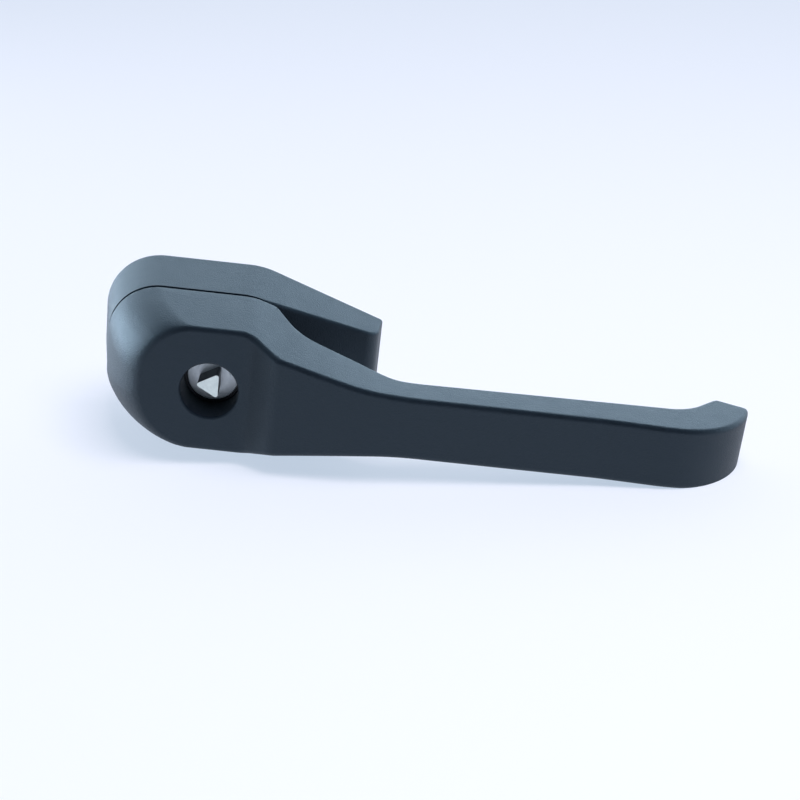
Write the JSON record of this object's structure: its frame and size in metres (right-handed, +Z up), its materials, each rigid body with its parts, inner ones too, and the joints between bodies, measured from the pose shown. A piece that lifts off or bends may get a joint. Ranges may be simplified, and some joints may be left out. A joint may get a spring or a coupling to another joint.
{
  "type": "cabinet swing handle",
  "caption": "Swing handle for a cabinet door: cushioned head with a triangular key lock, cranked lever arm with hooked tip, tapered base and square spindle for a latch cam.",
  "frame": {"origin": "on the spindle and lock axis, in the plane of the door face", "axes": "+X along the closed lever towards its tip, -Y out of the door towards the user, +Z up across the lever"},
  "size_m": [0.1989, 0.0878, 0.048],
  "materials": {
    "black_coat": "fine matte powder coat, black",
    "satin_zinc": "satin die-cast zinc, slightly mottled",
    "dark_plastic": "black moulded plastic",
    "bearing_plastic": "natural white bearing plastic",
    "seal_rubber": "soft black rubber",
    "plain_steel": "ground steel, lightly oiled",
    "spring_steel": "phosphated spring steel",
    "zinc_plate": "bright zinc plating"
  },
  "bodies": {
    "base": {"base_housing": "black_coat", "door_gasket": "seal_rubber", "hub_bush": "bearing_plastic", "thrust_washer": "bearing_plastic", "stop_pin": "plain_steel"},
    "lever": {"lever_handle": "black_coat", "hub_seal": "seal_rubber", "core_sleeve": "dark_plastic", "core_retainer": "spring_steel", "spindle": "plain_steel", "spindle_screws": "zinc_plate", "cam_washer": "zinc_plate", "cam_screw": "zinc_plate"},
    "core": {"lock_core": "satin_zinc", "core_seal": "seal_rubber"},
    "bolt": {"locking_bolt": "plain_steel"}
  },
  "joints": [
    {"name": "lever_turn", "type": "hinge", "parent": "base", "child": "lever", "pos_m": [0, 0, 0], "axis": [0, -1, 0], "range_deg": [0, 90]},
    {"name": "core_turn", "type": "hinge", "parent": "lever", "child": "core", "pos_m": [0, 0, 0], "axis": [0, -1, 0], "range_deg": [0, 90]},
    {"name": "bolt_slide", "type": "slide", "parent": "lever", "child": "bolt", "axis": [-1, 0, 0], "range_m": [0, 0.00311]}
  ],
  "couplings": [
    {"joint": "core_turn", "follows": "bolt_slide", "rad_per_m": 504.75}
  ]
}
